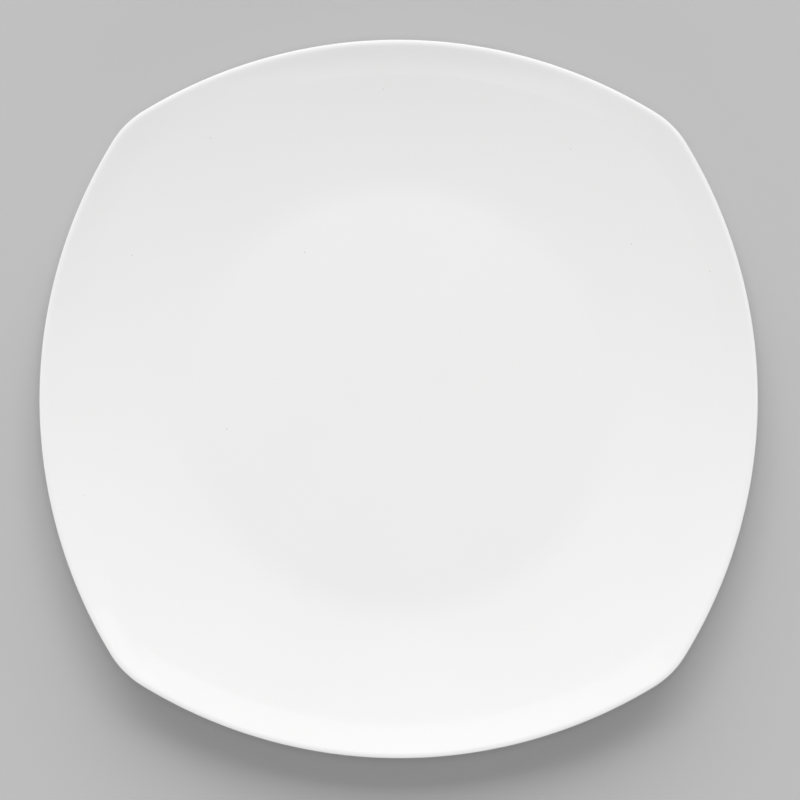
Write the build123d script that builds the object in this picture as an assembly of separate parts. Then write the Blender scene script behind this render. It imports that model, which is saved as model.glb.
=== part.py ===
from build123d import *

import os
from math import acos, asin, ceil, cos, degrees, hypot, radians, sin, sqrt, tan

# Square dinner plate of glazed porcelain, in millimetres.
# The origin is the middle of the foot ring's bearing plane, +Z is up and the sides face X and Y.
# Sizes are those of the finished plate with its glaze on. The porcelain body is the same plate
# drawn one glaze thickness smaller, and the glaze fills the space between the two.

# Outline seen from above: four bowed sides and four tighter corners, tangent to each other
SIDE_TO_SIDE = 270.0
SIDE_RADIUS = 183.5
CORNER_RADIUS = 36.0

# Eating surface along the middle of a side: round flat well, bend, wall, upturned rim and lip.
# The dish is round and the outline is not, so the rim rises toward the corners.
WELL_RADIUS = 74.5
WELL_BEND_RUN = 12.0
RIM_WIDTH = 13.0
RIM_BEND_RUN = 1.5

# Slope at the outer end of each stretch of the eating surface, in degrees
WELL_BEND_SLOPE = 6.0
WALL_SLOPE = 10.75
RIM_BEND_SLOPE = 13.0
LIP_SLOPE = 15.0

# Thickness across the wall, which tapers from the well to the lip
WELL_THICKNESS = 5.2
LIP_THICKNESS = 3.4

# Lip: a gently rounded crown that falls outward by this many degrees, and a tight edge at its
# outer end, above an upright side
LIP_CROWN_RADIUS = 3.7
LIP_CROWN_FALL = 13.0
LIP_EDGE_RADIUS = 0.35

# Foot ring on the flat underside of the well
FOOT_HEIGHT = 5.5
FOOT_WIDTH = 4.0
FOOT_SETBACK = 0.5
FOOT_FLANK_ANGLE = 15.0
FOOT_EDGE_RADIUS = 0.7
FOOT_COVE_RADIUS = 2.2

# Glaze, and the height above the table to which it is wiped off the foot ring
GLAZE_THICKNESS = 0.25
GLAZE_STOP_HEIGHT = 1.2

# Round edges are lofted in stretches that turn by no more than this, in degrees
STRETCH_TURN = 30.0

# Steps along each side and each corner of a contour that rises toward the corners, and the share
# of an edge's turn over which the tangents at its ends are taken
SIDE_STEPS = 6
CORNER_STEPS = 2
TANGENT_SHARE = 0.001

HALF_SIDE = SIDE_TO_SIDE / 2
WELL_HEIGHT = FOOT_HEIGHT + WELL_THICKNESS
ROUND_REACH = WELL_RADIUS + WELL_BEND_RUN
RIM_REACH = HALF_SIDE - RIM_WIDTH
FLANK = radians(FOOT_FLANK_ANGLE)

# The crown and its edge take up the width of the lip. The round under the lip is as large as
# that width allows, so that it meets the upright side and the underside of the wall smoothly.
RIM_RISE = sin(radians(LIP_SLOPE))
CROWN_DROP = sin(radians(LIP_CROWN_FALL))
LIP_WIDTH = LIP_CROWN_RADIUS * (RIM_RISE + CROWN_DROP) + LIP_EDGE_RADIUS * (1 - CROWN_DROP)
LIP_REACH = HALF_SIDE - LIP_WIDTH
LIP_UNDER_RADIUS = (LIP_WIDTH - LIP_THICKNESS * RIM_RISE) / (1 - RIM_RISE)

# Every contour of the plate is a bowed square with the same turn from the middle of a side to
# the start of the corner. The outline sets that turn, because its arcs are tangent.
CORNER_SHARE = (SIDE_RADIUS - HALF_SIDE) / (SIDE_RADIUS - CORNER_RADIUS)
SIDE_TURN = acos(CORNER_SHARE / sqrt(2)) - radians(45)


def contour_side_radius(reach):
    """Side radius of the contour with this reach: round at the well, parallel to the outline at the rim."""
    if reach <= ROUND_REACH:
        return reach
    if reach >= RIM_REACH:
        return SIDE_RADIUS - (HALF_SIDE - reach)
    share = (reach - ROUND_REACH) / (RIM_REACH - ROUND_REACH)
    return ROUND_REACH + share * (SIDE_RADIUS - RIM_WIDTH - ROUND_REACH)


def contour_place(reach, turn):
    """Place on this contour, seen from above, where it faces this far round from the middle of a side."""
    side_radius = contour_side_radius(reach)
    side_centre = reach - side_radius
    if turn <= SIDE_TURN:
        return side_centre + side_radius * cos(turn), side_radius * sin(turn)
    corner_radius = side_radius + side_centre / CORNER_SHARE
    corner_centre = side_centre + (side_radius - corner_radius) * cos(SIDE_TURN)
    return corner_centre + corner_radius * cos(turn), corner_centre + corner_radius * sin(turn)


def wall_rise(radius):
    """Rise of the round wall from the end of the well's bend to this distance from the axis."""
    start_slope = radians(WELL_BEND_SLOPE)
    bend_radius = (RIM_REACH - ROUND_REACH) / (sin(radians(WALL_SLOPE)) - sin(start_slope))
    turned = asin(sin(start_slope) + (radius - ROUND_REACH) / bend_radius)
    return bend_radius * (cos(start_slope) - cos(turned))


def corner_lift(dish_reach, turn):
    """Rise of a contour above the middle of its side, as the wall is round and the contour is not."""
    x, y = contour_place(dish_reach, turn)
    return wall_rise(hypot(x, y)) - wall_rise(dish_reach)


def lifted_place(reach, dish_reach, turn):
    """Place on a contour that rises toward the corners as the dish does at the dish reach."""
    x, y = contour_place(reach, turn)
    return Vector(x, y, corner_lift(dish_reach, turn))


def lifted_edge(reach, dish_reach, start, end, steps):
    """Edge of a contour that rises toward the corners, from one turn to the other."""
    places = []
    for step in range(steps + 1):
        places.append(lifted_place(reach, dish_reach, start + (end - start) * step / steps))
    nudge = (end - start) * TANGENT_SHARE
    start_tangent = lifted_place(reach, dish_reach, start + nudge) - places[0]
    end_tangent = places[-1] - lifted_place(reach, dish_reach, end - nudge)
    return Spline(*places, tangents=(start_tangent, end_tangent))


def contour(reach, height, dish_reach):
    """Closed contour of four sides and four corners, which are tangent to each other.

    It rises toward the corners as the dish does at the dish reach. Near the well it is round and level.
    """
    corner_end = radians(90) - SIDE_TURN
    if dish_reach <= ROUND_REACH:
        side = CenterArc((0, 0), reach, -degrees(SIDE_TURN), 2 * degrees(SIDE_TURN))
        corner = CenterArc((0, 0), reach, degrees(SIDE_TURN), degrees(corner_end - SIDE_TURN))
    else:
        side = lifted_edge(reach, dish_reach, -SIDE_TURN, SIDE_TURN, SIDE_STEPS)
        corner = lifted_edge(reach, dish_reach, SIDE_TURN, corner_end, CORNER_STEPS)
    edges = []
    for quarter in range(4):
        place = Pos(0, 0, height) * Rot(0, 0, 90 * quarter)
        edges.append(place * side)
        edges.append(place * corner)
    return Wire(edges)


def round_contour(reach, height):
    """Round level contour of the well or the foot, in the same eight edges as the others."""
    return contour(reach, height, WELL_RADIUS)


def lofted(places, dish_reaches):
    """Faces lofted through the contours at these places, each with the dish reach that lifts it."""
    sections = []
    for (reach, height), dish_reach in zip(places, dish_reaches):
        sections.append(contour(reach, height, dish_reach))
    return Shell.make_loft(sections).faces()


def bend_points(start, run, end_slope):
    """Start, middle and end of a bend that takes this run to turn to the end slope.

    A point of the eating surface is its reach from the middle, its height and its slope.
    """
    reach, height, slope = start
    bend_radius = run / (sin(end_slope) - sin(slope))
    points = [start]
    for turned in ((slope + end_slope) / 2, end_slope):
        point_reach = reach + bend_radius * (sin(turned) - sin(slope))
        point_height = height + bend_radius * (cos(slope) - cos(turned))
        points.append((point_reach, point_height, turned))
    return points


def eating_surface():
    """Stretches of the eating surface from the well to the lip, each a bend tangent to the one before."""
    rim_run = LIP_REACH - RIM_REACH - RIM_BEND_RUN
    well_edge = (WELL_RADIUS, WELL_HEIGHT, 0.0)
    well_bend = bend_points(well_edge, WELL_BEND_RUN, radians(WELL_BEND_SLOPE))
    wall = bend_points(well_bend[-1], RIM_REACH - ROUND_REACH, radians(WALL_SLOPE))
    rim_bend = bend_points(wall[-1], RIM_BEND_RUN, radians(RIM_BEND_SLOPE))
    rim = bend_points(rim_bend[-1], rim_run, radians(LIP_SLOPE))
    return [well_bend, wall, rim_bend, rim]


def below(point, depth):
    """Reach and height of the place that lies this deep, square to the eating surface."""
    reach, height, slope = point
    return reach + depth * sin(slope), height - depth * cos(slope)


def wall_thickness(point):
    """Thickness of the plate under this point of the eating surface."""
    share = (point[0] - WELL_RADIUS) / (LIP_REACH - WELL_RADIUS)
    return WELL_THICKNESS + share * (LIP_THICKNESS - WELL_THICKNESS)


def round_stretches(centre, radius, start, end):
    """Stretches of a round edge seen in section, from one angle to the other, in radians."""
    count = ceil(abs(degrees(end - start)) / STRETCH_TURN)
    points = []
    for step in range(2 * count + 1):
        angle = start + (end - start) * step / (2 * count)
        points.append((centre[0] + radius * cos(angle), centre[1] + radius * sin(angle)))
    return [points[2 * stretch : 2 * stretch + 3] for stretch in range(count)]


def lip_stretches(rim_end, skin):
    """Stretches of the lip: crown, tight edge, upright side and the round under it."""
    slope = rim_end[2]
    crown_end = radians(90 - LIP_CROWN_FALL)
    crown_centre = below(rim_end, LIP_CROWN_RADIUS)
    edge_inset = LIP_CROWN_RADIUS - LIP_EDGE_RADIUS
    edge_reach = crown_centre[0] + edge_inset * cos(crown_end)
    edge_height = crown_centre[1] + edge_inset * sin(crown_end)
    edge_centre = (edge_reach, edge_height)
    under_centre = below(rim_end, LIP_THICKNESS - LIP_UNDER_RADIUS)
    crown = round_stretches(crown_centre, LIP_CROWN_RADIUS - skin, radians(90) + slope, crown_end)
    edge = round_stretches(edge_centre, LIP_EDGE_RADIUS - skin, crown_end, 0.0)
    under = round_stretches(under_centre, LIP_UNDER_RADIUS - skin, 0.0, slope - radians(90))
    side = [edge[-1][-1], under[0][0]]
    return crown + edge + [side] + under


def dish_faces(skin):
    """Faces of the eating surface, the lip and the underside of the wall."""
    surface = eating_surface()
    faces = []
    for stretch in lip_stretches(surface[-1][-1], skin):
        faces.extend(lofted(stretch, [LIP_REACH] * len(stretch)))
    for stretch in surface:
        dish_reaches = [point[0] for point in stretch]
        faces.extend(lofted([below(point, skin) for point in stretch], dish_reaches))
        faces.extend(lofted([below(point, wall_thickness(point) - skin) for point in stretch], dish_reaches))
    return faces


def foot_section(skin):
    """Outer half of the foot ring in section, measured from the ring's middle.

    Its stretches run from the bearing face over the rounded edge, the flank and the cove.
    """
    half_width = FOOT_WIDTH / 2 - skin / cos(FLANK)
    cove_radius = FOOT_COVE_RADIUS + skin
    edge_top = FOOT_EDGE_RADIUS * (1 - sin(FLANK))
    cove_bottom = FOOT_HEIGHT + skin - cove_radius * (1 - sin(FLANK))
    edge_reach = half_width + edge_top * tan(FLANK) - FOOT_EDGE_RADIUS * cos(FLANK)
    cove_reach = half_width + cove_bottom * tan(FLANK) + cove_radius * cos(FLANK)
    edge_centre = (edge_reach, FOOT_EDGE_RADIUS)
    cove_centre = (cove_reach, FOOT_HEIGHT + skin - cove_radius)
    edge = round_stretches(edge_centre, FOOT_EDGE_RADIUS, radians(-90), -FLANK)
    cove = round_stretches(cove_centre, cove_radius, radians(180) - FLANK, radians(90))
    flank = [edge[-1][-1], cove[0][0]]
    return edge + [flank] + cove


def foot_faces(skin):
    """Faces of the foot ring, with the bearing face and the flat underside on both sides of it."""
    finished_reach = foot_section(0.0)[-1][-1][0]
    foot_radius = WELL_RADIUS - FOOT_SETBACK - finished_reach
    section = foot_section(skin)
    bearing_reach = section[0][0][0]
    cove_reach = section[-1][-1][0]
    ceiling = FOOT_HEIGHT + skin
    faces = [
        Face(round_contour(foot_radius + bearing_reach, 0), [round_contour(foot_radius - bearing_reach, 0)]),
        Face(round_contour(WELL_RADIUS, ceiling), [round_contour(foot_radius + cove_reach, ceiling)]),
        Face(round_contour(foot_radius - cove_reach, ceiling)),
    ]
    for stretch in section:
        for side in (1, -1):
            ring = [(foot_radius + side * reach, height) for reach, height in stretch]
            faces.extend(lofted(ring, [WELL_RADIUS] * len(ring)))
    return faces


def plate(skin):
    """Whole plate with its foot ring, drawn this deep inside the glazed surface."""
    well = Face(round_contour(WELL_RADIUS, WELL_HEIGHT - skin))
    return Solid(Shell([well] + dish_faces(skin) + foot_faces(skin)))


def glaze_coats(glazed_plate, porcelain_body):
    """Coat round the outside and coat inside the foot ring, both down to the wiped line on the foot."""
    room = 2 * SIDE_TO_SIDE
    above_wiped_line = Pos(0, 0, GLAZE_STOP_HEIGHT) * Box(
        room, room, room, align=(Align.CENTER, Align.CENTER, Align.MIN)
    )
    glaze = (glazed_plate & above_wiped_line) - porcelain_body
    recess_coat, outer_coat = glaze.solids().sort_by(SortBy.VOLUME)
    return outer_coat, recess_coat


glazed_plate = plate(0.0)
porcelain_body = plate(GLAZE_THICKNESS)
outer_glaze, recess_glaze = glaze_coats(glazed_plate, porcelain_body)

os.makedirs("parts", exist_ok=True)
export_step(porcelain_body, "parts/porcelain_body.step")
export_step(outer_glaze, "parts/outer_glaze.step")
export_step(recess_glaze, "parts/recess_glaze.step")
print("finished height", round(glazed_plate.bounding_box().max.Z, 2))
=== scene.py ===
from math import acos, asin, cos, hypot, pi, radians, sin, sqrt, tan

import bmesh
import bpy
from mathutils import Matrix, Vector


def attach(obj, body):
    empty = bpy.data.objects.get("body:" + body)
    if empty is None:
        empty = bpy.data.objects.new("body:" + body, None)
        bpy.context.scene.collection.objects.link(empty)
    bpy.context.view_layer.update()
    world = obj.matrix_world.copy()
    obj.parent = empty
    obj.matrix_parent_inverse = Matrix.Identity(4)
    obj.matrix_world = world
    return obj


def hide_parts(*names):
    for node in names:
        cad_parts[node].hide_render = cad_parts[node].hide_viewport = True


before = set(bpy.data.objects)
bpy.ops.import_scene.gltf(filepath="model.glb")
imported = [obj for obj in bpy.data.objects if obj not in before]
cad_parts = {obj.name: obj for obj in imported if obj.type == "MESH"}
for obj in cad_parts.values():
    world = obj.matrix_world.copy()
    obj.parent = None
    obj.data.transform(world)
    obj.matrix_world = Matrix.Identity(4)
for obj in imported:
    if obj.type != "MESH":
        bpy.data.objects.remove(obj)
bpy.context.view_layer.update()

# Sizes of the finished plate in millimetres, as in the construction
SIDE_TO_SIDE = 270.0
SIDE_RADIUS = 183.5
CORNER_RADIUS = 36.0
WELL_RADIUS = 74.5
WELL_BEND_RUN = 12.0
RIM_WIDTH = 13.0
RIM_BEND_RUN = 1.5
WELL_BEND_SLOPE = radians(6.0)
WALL_SLOPE = radians(10.75)
RIM_BEND_SLOPE = radians(13.0)
LIP_SLOPE = radians(15.0)
WELL_THICKNESS = 5.2
LIP_THICKNESS = 3.4
LIP_CROWN_RADIUS = 3.7
LIP_CROWN_FALL = radians(13.0)
LIP_EDGE_RADIUS = 0.35
FOOT_HEIGHT = 5.5
FOOT_WIDTH = 4.0
FOOT_SETBACK = 0.5
FOOT_FLANK = radians(15.0)
FOOT_COVE_RADIUS = 2.2
GLAZE_THICKNESS = 0.25
GLAZE_STOP_HEIGHT = 1.2

MILLIMETRE = 0.001
HALF_SIDE = SIDE_TO_SIDE / 2
WELL_HEIGHT = FOOT_HEIGHT + WELL_THICKNESS
ROUND_REACH = WELL_RADIUS + WELL_BEND_RUN
RIM_REACH = HALF_SIDE - RIM_WIDTH
LIP_CROWN_RUN = LIP_CROWN_RADIUS * (sin(LIP_SLOPE) + sin(LIP_CROWN_FALL))
LIP_RUN = LIP_CROWN_RUN + LIP_EDGE_RADIUS * (1 - sin(LIP_CROWN_FALL))
LIP_REACH = HALF_SIDE - LIP_RUN
LIP_UNDER_RADIUS = (LIP_RUN - LIP_THICKNESS * sin(LIP_SLOPE)) / (1 - sin(LIP_SLOPE))
CORNER_SHARE = (SIDE_RADIUS - HALF_SIDE) / (SIDE_RADIUS - CORNER_RADIUS)
SIDE_TURN = acos(CORNER_SHARE / sqrt(2)) - radians(45)
CORNER_TURN = radians(90) - 2 * SIDE_TURN

# Mesh steps round a side and a corner of each contour
SIDE_STEPS = 60
CORNER_STEPS = 28

# Mesh steps along the section, from the well over the lip to the wiped line on the foot
WELL_BEND_STEPS = 10
WALL_STEPS = 20
RIM_BEND_STEPS = 10
RIM_STEPS = 6
LIP_CROWN_STEPS = 14
LIP_EDGE_STEPS = 10
LIP_UNDER_STEPS = 12
COVE_STEPS = 10
WIPED_EDGE_STEPS = 6
FEWEST_STEPS = 2

# The faces that lie on the porcelain are out of sight and get fewer steps
FULL_DETAIL = 1.0
INNER_DETAIL = 0.4
INNER_COVE_STEPS = 4
INNER_RECESS_COVE_STEPS = 6

# Reaches of the contours on the flat of the well and on that of the recess
WELL_RINGS = (6.0, 20.0, 35.0, 50.0, 62.0, 70.0)
RECESS_RINGS = (6.0, 20.0, 35.0, 50.0)

# Sides of the foot ring
OUTWARD = 1
INWARD = -1


# Geometry of the glaze

def contour_side_radius(reach):
    """Side radius of the contour with this reach.

    It runs from a circle at the well to a curve parallel to the outline at the rim.
    """
    if reach <= ROUND_REACH:
        return reach
    if reach >= RIM_REACH:
        return SIDE_RADIUS - (HALF_SIDE - reach)
    share = (reach - ROUND_REACH) / (RIM_REACH - ROUND_REACH)
    return ROUND_REACH + share * (SIDE_RADIUS - RIM_WIDTH - ROUND_REACH)


def contour_place(reach, turn):
    """Spot on this contour, from above, where it faces this far round from a side's middle."""
    side_radius = contour_side_radius(reach)
    side_centre = reach - side_radius
    if turn <= SIDE_TURN:
        return side_centre + side_radius * cos(turn), side_radius * sin(turn)
    corner_radius = side_radius + side_centre / CORNER_SHARE
    corner_centre = side_centre + (side_radius - corner_radius) * cos(SIDE_TURN)
    return corner_centre + corner_radius * cos(turn), corner_centre + corner_radius * sin(turn)


def wall_rise(radius):
    """Rise of the round wall from the end of the well's bend to this distance from the axis."""
    bend_radius = (RIM_REACH - ROUND_REACH) / (sin(WALL_SLOPE) - sin(WELL_BEND_SLOPE))
    turned = asin(sin(WELL_BEND_SLOPE) + (radius - ROUND_REACH) / bend_radius)
    return bend_radius * (cos(WELL_BEND_SLOPE) - cos(turned))


def corner_lift(dish_reach, turn):
    """Rise of a contour above its side's middle, as the wall is round and the contour is not."""
    if dish_reach <= ROUND_REACH:
        return 0.0
    x, y = contour_place(dish_reach, turn)
    return wall_rise(hypot(x, y)) - wall_rise(dish_reach)


def contour(reach, height, dish_reach):
    """Points of the contour with this reach, in metres, which rises with the dish at corners."""
    turns = [-SIDE_TURN + 2 * SIDE_TURN * step / SIDE_STEPS for step in range(SIDE_STEPS)]
    turns += [SIDE_TURN + CORNER_TURN * step / CORNER_STEPS for step in range(CORNER_STEPS)]
    points = []
    for cosine, sine in ((1, 0), (0, 1), (-1, 0), (0, -1)):
        for turn in turns:
            if dish_reach <= ROUND_REACH:
                x, y = reach * cos(turn), reach * sin(turn)
            else:
                x, y = contour_place(reach, turn)
            z = height + corner_lift(dish_reach, turn)
            points.append(Vector((x * cosine - y * sine, x * sine + y * cosine, z)) * MILLIMETRE)
    return points


def eating_surface(detail):
    """Places on the eating surface from the well's edge to the lip, as reach, height and slope."""
    places = [(WELL_RADIUS, WELL_HEIGHT, 0.0)]
    rim_run = LIP_REACH - RIM_REACH - RIM_BEND_RUN
    bends = (
        (WELL_BEND_RUN, WELL_BEND_SLOPE, WELL_BEND_STEPS),
        (RIM_REACH - ROUND_REACH, WALL_SLOPE, WALL_STEPS),
        (RIM_BEND_RUN, RIM_BEND_SLOPE, RIM_BEND_STEPS),
        (rim_run, LIP_SLOPE, RIM_STEPS),
    )
    for run, end_slope, steps in bends:
        reach, height, slope = places[-1]
        bend_radius = run / (sin(end_slope) - sin(slope))
        count = max(FEWEST_STEPS, round(steps * detail))
        for step in range(1, count + 1):
            turned = slope + (end_slope - slope) * step / count
            new_reach = reach + bend_radius * (sin(turned) - sin(slope))
            new_height = height + bend_radius * (cos(slope) - cos(turned))
            places.append((new_reach, new_height, turned))
    return places


def below(place, depth):
    """Reach and height of the spot that lies this deep, square to the eating surface."""
    reach, height, slope = place
    return reach + depth * sin(slope), height - depth * cos(slope)


def wall_thickness(place):
    share = (place[0] - WELL_RADIUS) / (LIP_REACH - WELL_RADIUS)
    return WELL_THICKNESS + share * (LIP_THICKNESS - WELL_THICKNESS)


def round_edge(centre, radius, start, end, steps):
    """Spots round an edge in section, from one angle to the other."""
    spots = []
    for step in range(steps + 1):
        angle = start + (end - start) * step / steps
        spots.append((centre[0] + radius * cos(angle), centre[1] + radius * sin(angle)))
    return spots


def lip_profile(lip_edge, skin, detail):
    """Section of the lip: a low crown, a tight edge, an upright side and the rounding under it."""
    crown = below(lip_edge, LIP_CROWN_RADIUS)
    crown_start = radians(90) + LIP_SLOPE
    crown_end = radians(90) - LIP_CROWN_FALL
    crown_steps = round(LIP_CROWN_STEPS * detail)
    spots = round_edge(crown, LIP_CROWN_RADIUS - skin, crown_start, crown_end, crown_steps)

    inset = LIP_CROWN_RADIUS - LIP_EDGE_RADIUS
    edge = (crown[0] + inset * cos(crown_end), crown[1] + inset * sin(crown_end))
    edge_steps = round(LIP_EDGE_STEPS * detail)
    spots += round_edge(edge, LIP_EDGE_RADIUS - skin, crown_end, 0.0, edge_steps)[1:]

    under = below(lip_edge, LIP_THICKNESS - LIP_UNDER_RADIUS)
    under_end = LIP_SLOPE - radians(90)
    under_steps = round(LIP_UNDER_STEPS * detail)
    spots += round_edge(under, LIP_UNDER_RADIUS - skin, 0.0, under_end, under_steps)
    return spots


def dish_profile(skin, detail):
    """Section from the well's edge over the lip to the underside of the well."""
    places = eating_surface(detail)
    lip = lip_profile(places[-1], skin, detail)
    top = [(*below(place, skin), place[0]) for place in places]
    edge = [(*spot, LIP_REACH) for spot in lip[1:-1]]
    under = [
        (*below(place, wall_thickness(place) - skin), place[0]) for place in reversed(places)
    ]
    return top + edge + under


def foot_profile(skin, steps):
    """Cove and flank on the outer side of the foot ring, measured from the ring's middle."""
    half_width = FOOT_WIDTH / 2 - skin / cos(FOOT_FLANK)
    cove_radius = FOOT_COVE_RADIUS + skin
    cove_bottom = FOOT_HEIGHT + skin - cove_radius * (1 - sin(FOOT_FLANK))
    cove_reach = half_width + cove_bottom * tan(FOOT_FLANK) + cove_radius * cos(FOOT_FLANK)
    cove_centre = (cove_reach, FOOT_HEIGHT + skin - cove_radius)
    cove = round_edge(cove_centre, cove_radius, radians(90), radians(180) - FOOT_FLANK, steps)
    bead = GLAZE_THICKNESS / 2
    end_height = GLAZE_STOP_HEIGHT + bead
    return cove + [(half_width + end_height * tan(FOOT_FLANK), end_height)]


FOOT_RADIUS = WELL_RADIUS - FOOT_SETBACK - foot_profile(0.0, COVE_STEPS)[0][0]


def level(spots):
    """Spots of the well and the foot, which are round and level."""
    return [(reach, height, WELL_RADIUS) for reach, height in spots]


def foot_side(skin, steps, side):
    """Cove and flank on the outward or the inward side of the foot ring."""
    spots = foot_profile(skin, steps)
    return level([(FOOT_RADIUS + side * reach, height) for reach, height in spots])


def wiped_edge(outer_end, inner_end):
    """Rounded edge where the glaze was wiped off, from the outer skin to the porcelain."""
    middle = ((outer_end[0] + inner_end[0]) / 2, (outer_end[1] + inner_end[1]) / 2)
    radius = abs(outer_end[0] - inner_end[0]) / 2
    start, end = (0.0, -pi) if outer_end[0] > inner_end[0] else (pi, 2 * pi)
    return level(round_edge(middle, radius, start, end, WIPED_EDGE_STEPS)[1:-1])


def outer_coat_profile():
    """From the middle of the well over the lip to the wiped line, then back inside."""
    outside = level([(reach, WELL_HEIGHT) for reach in WELL_RINGS])
    outside += dish_profile(0.0, FULL_DETAIL)
    outside += foot_side(0.0, COVE_STEPS, OUTWARD)
    inside = level([(reach, WELL_HEIGHT - GLAZE_THICKNESS) for reach in WELL_RINGS])
    inside += dish_profile(GLAZE_THICKNESS, INNER_DETAIL)
    inside += foot_side(GLAZE_THICKNESS, INNER_COVE_STEPS, OUTWARD)
    return outside + wiped_edge(outside[-1], inside[-1]) + inside[::-1]


def recess_coat_profile():
    """From the middle of the recess to the wiped line inside the foot ring, then back inside."""
    outside = level([(reach, FOOT_HEIGHT) for reach in RECESS_RINGS])
    outside += foot_side(0.0, COVE_STEPS, INWARD)
    inside = level([(reach, FOOT_HEIGHT + GLAZE_THICKNESS) for reach in RECESS_RINGS])
    inside += foot_side(GLAZE_THICKNESS, INNER_RECESS_COVE_STEPS, INWARD)
    return outside + wiped_edge(outside[-1], inside[-1]) + inside[::-1]


def closed_coat(name, profile):
    """Closed mesh through the contours at the profile's spots, capped flat at both ends."""
    mesh = bpy.data.meshes.new(name)
    shape = bmesh.new()
    rings = [[shape.verts.new(point) for point in contour(*spot)] for spot in profile]
    count = len(rings[0])
    for inner, outer in zip(rings, rings[1:]):
        for index in range(count):
            after = (index + 1) % count
            shape.faces.new((inner[index], inner[after], outer[after], outer[index]))
    shape.faces.new(rings[0])
    shape.faces.new(rings[-1])
    bmesh.ops.recalc_face_normals(shape, faces=shape.faces)
    for face in shape.faces:
        face.smooth = True
    shape.to_mesh(mesh)
    shape.free()
    piece = bpy.data.objects.new(name, mesh)
    bpy.context.scene.collection.objects.link(piece)
    return piece


# Materials

# Nearly all values of a noise texture lie between these
NOISE_LOW = 0.3
NOISE_HIGH = 0.7

# Share of a speck's size that has its full colour
SPECK_CORE = 0.4

GLAZE_GREYER = (0.849, 0.849, 0.847)
GLAZE_WHITER = (0.858, 0.858, 0.857)
IRON_SPECK = (0.56, 0.55, 0.54)
GLAZE_IOR = 1.5
CLAY_DARKER = (0.66, 0.64, 0.60)
CLAY_LIGHTER = (0.76, 0.745, 0.71)
CLAY_RUBBED = (0.58, 0.57, 0.55)
FLOOR_DARKER = (0.508, 0.508, 0.508)
FLOOR_LIGHTER = (0.514, 0.514, 0.514)
FLOOR_ROUGHNESS = 0.9
FLOOR_SPECULAR = 0.1


def new_material(name):
    material = bpy.data.materials.new(name)
    material.use_nodes = True
    tree = material.node_tree
    return material, tree, tree.nodes["Principled BSDF"]


def object_coordinates(tree):
    return tree.nodes.new("ShaderNodeTexCoord").outputs["Object"]


def noise(tree, coordinates, scale, detail, roughness=0.5):
    node = tree.nodes.new("ShaderNodeTexNoise")
    node.inputs["Scale"].default_value = scale
    node.inputs["Detail"].default_value = detail
    node.inputs["Roughness"].default_value = roughness
    tree.links.new(coordinates, node.inputs["Vector"])
    return node.outputs["Fac"]


def spread(tree, value, low, high, low_out, high_out):
    """Maps a value from one range to another, clamped."""
    node = tree.nodes.new("ShaderNodeMapRange")
    node.inputs["From Min"].default_value = low
    node.inputs["From Max"].default_value = high
    node.inputs["To Min"].default_value = low_out
    node.inputs["To Max"].default_value = high_out
    tree.links.new(value, node.inputs["Value"])
    return node.outputs["Result"]


def blend_colours(tree, share, first, second):
    """Mixes two colours, each a plain value or another node's output."""
    node = tree.nodes.new("ShaderNodeMix")
    node.data_type = "RGBA"
    tree.links.new(share, node.inputs["Factor"])
    for socket, colour in (("A", first), ("B", second)):
        slot = [s for s in node.inputs if s.name == socket and s.type == "RGBA"][0]
        if isinstance(colour, tuple):
            slot.default_value = (*colour, 1)
        else:
            tree.links.new(colour, slot)
    return [s for s in node.outputs if s.type == "RGBA"][0]


def bump(tree, height, distance, strength, normal=None):
    node = tree.nodes.new("ShaderNodeBump")
    node.inputs["Strength"].default_value = strength
    node.inputs["Distance"].default_value = distance
    tree.links.new(height, node.inputs["Height"])
    if normal:
        tree.links.new(normal, node.inputs["Normal"])
    return node.outputs["Normal"]


def specks(tree, coordinates, scale, size, rarity):
    """One in the middle of a few cells of a random pattern and nought elsewhere."""
    cells = tree.nodes.new("ShaderNodeTexVoronoi")
    cells.inputs["Scale"].default_value = scale
    tree.links.new(coordinates, cells.inputs["Vector"])
    spot = spread(tree, cells.outputs["Distance"], size, size * SPECK_CORE, 0.0, 1.0)
    split = tree.nodes.new("ShaderNodeSeparateColor")
    tree.links.new(cells.outputs["Color"], split.inputs["Color"])
    chosen = tree.nodes.new("ShaderNodeMath")
    chosen.operation = "GREATER_THAN"
    chosen.inputs[1].default_value = 1 - rarity
    tree.links.new(split.outputs["Red"], chosen.inputs[0])
    both = tree.nodes.new("ShaderNodeMath")
    both.operation = "MULTIPLY"
    tree.links.new(spot, both.inputs[0])
    tree.links.new(chosen.outputs["Value"], both.inputs[1])
    return both.outputs["Value"]


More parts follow.
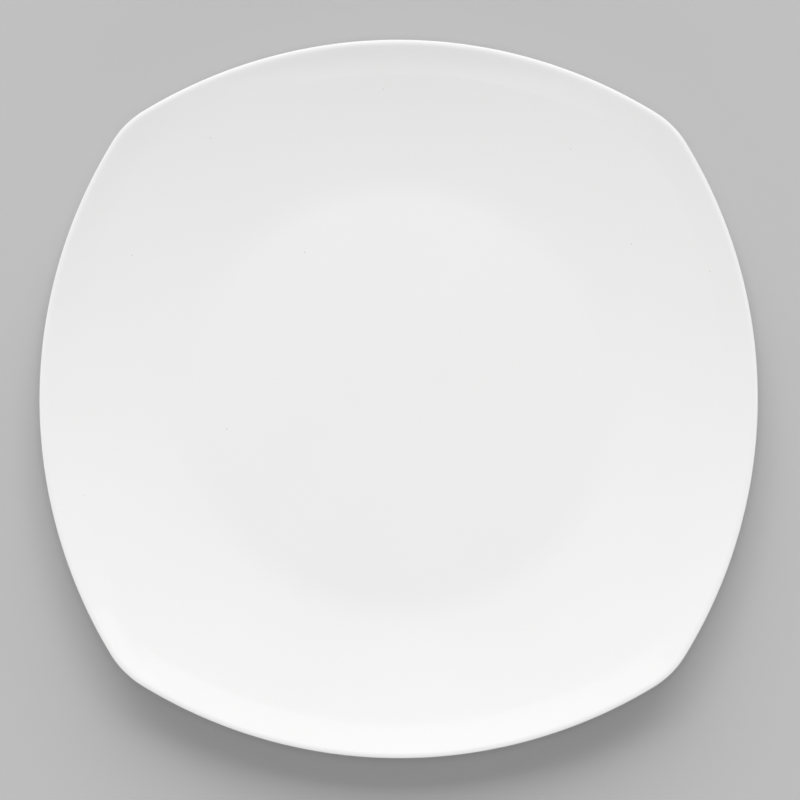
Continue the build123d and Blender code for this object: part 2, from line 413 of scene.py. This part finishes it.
def glaze_material():
    """White porcelain under clear glossy glaze with faint waves, iron specks and pinholes."""
    material, tree, shader = new_material("white_glaze")
    place = object_coordinates(tree)

    cloud_noise = noise(tree, place, scale=18.0, detail=3.0)
    cloud = spread(tree, cloud_noise, NOISE_LOW, NOISE_HIGH, 0.0, 1.0)
    white = blend_colours(tree, cloud, GLAZE_GREYER, GLAZE_WHITER)
    iron = specks(tree, place, scale=170.0, size=0.05, rarity=0.12)
    colour = blend_colours(tree, iron, white, IRON_SPECK)
    tree.links.new(colour, shader.inputs["Base Color"])

    gloss_noise = noise(tree, place, scale=55.0, detail=4.0, roughness=0.6)
    gloss = spread(tree, gloss_noise, NOISE_LOW, NOISE_HIGH, low_out=0.015, high_out=0.03)
    tree.links.new(gloss, shader.inputs["Roughness"])

    wave_noise = noise(tree, place, scale=28.0, detail=1.0)
    waves = bump(tree, wave_noise, distance=0.001, strength=0.02)
    peel_noise = noise(tree, place, scale=420.0, detail=2.0)
    peel = bump(tree, peel_noise, distance=0.0001, strength=0.02, normal=waves)
    holes = specks(tree, place, scale=210.0, size=0.05, rarity=0.06)
    pinholes = bump(tree, holes, distance=-0.0002, strength=0.5, normal=peel)
    tree.links.new(pinholes, shader.inputs["Normal"])

    shader.inputs["IOR"].default_value = GLAZE_IOR
    return material


def bare_porcelain_material():
    """Unglazed fired porcelain of the wiped foot: matt, fine grained, rubbed grey in places."""
    material, tree, shader = new_material("bare_porcelain")
    place = object_coordinates(tree)

    grain = noise(tree, place, scale=900.0, detail=4.0, roughness=0.7)
    clay = blend_colours(tree, grain, CLAY_DARKER, CLAY_LIGHTER)
    rub_noise = noise(tree, place, scale=60.0, detail=5.0, roughness=0.65)
    rub = spread(tree, rub_noise, low=0.52, high=0.72, low_out=0.0, high_out=1.0)
    colour = blend_colours(tree, rub, clay, CLAY_RUBBED)
    tree.links.new(colour, shader.inputs["Base Color"])

    roughness = spread(tree, grain, NOISE_LOW, NOISE_HIGH, low_out=0.62, high_out=0.86)
    tree.links.new(roughness, shader.inputs["Roughness"])
    grit = bump(tree, grain, distance=0.0001, strength=0.5)
    tree.links.new(grit, shader.inputs["Normal"])
    return material


def floor_material():
    """Plain pale paper sweep."""
    material, tree, shader = new_material("pale_floor")
    place = object_coordinates(tree)

    tone_noise = noise(tree, place, scale=3.0, detail=3.0)
    tone = spread(tree, tone_noise, NOISE_LOW, NOISE_HIGH, 0.0, 1.0)
    colour = blend_colours(tree, tone, FLOOR_DARKER, FLOOR_LIGHTER)
    tree.links.new(colour, shader.inputs["Base Color"])

    fibre_noise = noise(tree, place, scale=700.0, detail=3.0)
    fibres = bump(tree, fibre_noise, distance=0.0001, strength=0.1)
    tree.links.new(fibres, shader.inputs["Normal"])

    shader.inputs["Roughness"].default_value = FLOOR_ROUGHNESS
    shader.inputs["Specular IOR Level"].default_value = FLOOR_SPECULAR
    return material


# Plate

coat_profiles = {
    "outer_glaze": outer_coat_profile(),
    "recess_glaze": recess_coat_profile(),
}
glaze = glaze_material()
for node_name, profile in coat_profiles.items():
    coat = closed_coat(node_name + "_coat", profile)
    coat.data.materials.append(glaze)
    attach(coat, "root")
    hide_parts(node_name)

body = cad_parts["porcelain_body"]
body.data.materials.clear()
body.data.materials.append(bare_porcelain_material())


# Floor and light, in metres and watts

FLOOR_HALF_WIDTH = 3.0

# The lights stand at a studio's distance, so that the well is lit evenly
LIGHT_DISTANCE = 10.0
SHEEN_SPREAD = radians(76)
ROOM_STRENGTH = 0.20

# Lights that shade: name, degrees off overhead and round from +X, width, depth and power
SHADING_LIGHTS = (
    ("overhead", 0, 90, 4.0, 4.0, 262.0),
    ("key", 43, 90, 8.5, 4.0, 473.0),
    ("back_fill", 66, 90, 16.0, 4.0, 732.0),
    ("front_fill", 68, 270, 16.0, 5.0, 176.0),
)

# Sheen on the walls: name, degrees off overhead and round from +X, and radiance
SHEEN_LIGHTS = (
    ("front_sheen", 40, 265, 1.1),
    ("left_sheen", 40, 192, 0.8),
    ("right_sheen", 40, 348, 0.7),
)

# Band on the front rim: name, middle, width, depth, radiance and degrees of turn
CEILING_PANELS = (
    ("back_panel", (-0.225, 5.15, 10.0), 6.45, 4.55, 0.42, 1.8),
    ("back_panel_end", (3.48, 4.8, 9.6), 2.4, 4.32, 0.68, 29),
)

# Fine line along the crease of the back rim: a strip in layers that add up. Each layer is wider,
# deeper and higher than the one before, so the strip fades to its ends and its far side.
STRIP_LAYERS = 6
STRIP_MIDDLE = -0.2
STRIP_NEAR_SIDE = -2.83
STRIP_HEIGHT, STRIP_HEIGHT_STEP = 9.0, 0.01
STRIP_WIDTH, STRIP_WIDTH_STEP = 2.4, 0.72
STRIP_DEPTH, STRIP_DEPTH_STEP = 0.6, 0.07
STRIP_RADIANCE = 0.14


def make_floor(half_width):
    mesh = bpy.data.meshes.new("floor")
    corners = [
        (-half_width, -half_width, 0),
        (half_width, -half_width, 0),
        (half_width, half_width, 0),
        (-half_width, half_width, 0),
    ]
    mesh.from_pydata(corners, [], [(0, 1, 2, 3)])
    mesh.materials.append(floor_material())
    floor = bpy.data.objects.new("floor", mesh)
    bpy.context.scene.collection.objects.link(floor)


def area_light(name, width, depth, power):
    data = bpy.data.lights.new(name, "AREA")
    data.shape = "RECTANGLE"
    data.size = width
    data.size_y = depth
    data.energy = power
    light = bpy.data.objects.new(name, data)
    light.visible_camera = False
    bpy.context.scene.collection.objects.link(light)
    return light


def aim(light, zenith, azimuth):
    """Places a light this far off overhead and round from +X, in degrees, facing the plate."""
    tilt, heading = radians(zenith), radians(azimuth)
    towards = Vector((sin(tilt) * cos(heading), sin(tilt) * sin(heading), cos(tilt)))
    light.location = towards * LIGHT_DISTANCE
    light.rotation_euler = (tilt, 0, heading + radians(90))


def shading_light(name, zenith, azimuth, width, depth, power):
    """Soft light that shades the plate and the floor and does not show in the glaze."""
    light = area_light(name, width, depth, power)
    aim(light, zenith, azimuth)
    light.visible_glossy = False


def sheen_light(name, zenith, azimuth, radiance):
    """Large panel behind a grid that only shows as a sheen in the glaze and fades out overhead."""
    half_spread = SHEEN_SPREAD / 2
    width = 2 * LIGHT_DISTANCE * tan(half_spread)
    grid_share = 1 - half_spread / tan(half_spread)
    light = area_light(name, width, width, radiance * pi * width * width * grid_share)
    light.data.spread = SHEEN_SPREAD
    aim(light, zenith, azimuth)
    light.visible_diffuse = False


def ceiling_panel(name, middle, width, depth, radiance, roll):
    """Dim level panel that only shows as a reflection in the glaze."""
    light = area_light(name, width, depth, radiance * pi * width * depth)
    light.location = middle
    light.rotation_euler = (0, 0, radians(roll))
    light.visible_diffuse = False


def front_strip_layer(layer):
    width = STRIP_WIDTH + STRIP_WIDTH_STEP * layer
    depth = STRIP_DEPTH + STRIP_DEPTH_STEP * layer
    height = STRIP_HEIGHT + STRIP_HEIGHT_STEP * layer
    middle = (STRIP_MIDDLE, STRIP_NEAR_SIDE - depth / 2, height)
    ceiling_panel(f"front_strip_{layer}", middle, width, depth, STRIP_RADIANCE, 0)


make_floor(FLOOR_HALF_WIDTH)
for shading in SHADING_LIGHTS:
    shading_light(*shading)
for sheen in SHEEN_LIGHTS:
    sheen_light(*sheen)
for panel in CEILING_PANELS:
    ceiling_panel(*panel)
for layer in range(STRIP_LAYERS):
    front_strip_layer(layer)

world = bpy.data.worlds.new("soft_room")
world.use_nodes = True
background = world.node_tree.nodes["Background"]
background.inputs["Color"].default_value = (1, 1, 1, 1)
background.inputs["Strength"].default_value = ROOM_STRENGTH
bpy.context.scene.world = world


# Camera: the photograph looks straight down, with the plate's middle a little off the frame's

RIM_SIGHT_HEIGHT = 0.018
VIEW_WIDTH = 0.3008
CAMERA_DISTANCE = 1.5
CAMERA_OFFSET = (0.00052, -0.00035)
CAMERA_ROLL = radians(0.2)
SENSOR_WIDTH = 36.0

camera_data = bpy.data.cameras.new("camera")
camera_data.sensor_width = SENSOR_WIDTH
camera_data.lens = SENSOR_WIDTH * CAMERA_DISTANCE / VIEW_WIDTH
camera = bpy.data.objects.new("camera", camera_data)
camera.location = (*CAMERA_OFFSET, RIM_SIGHT_HEIGHT + CAMERA_DISTANCE)
camera.rotation_euler = (0, 0, CAMERA_ROLL)
bpy.context.scene.collection.objects.link(camera)
bpy.context.scene.camera = camera
bpy.context.scene.view_settings.view_transform = "Standard"
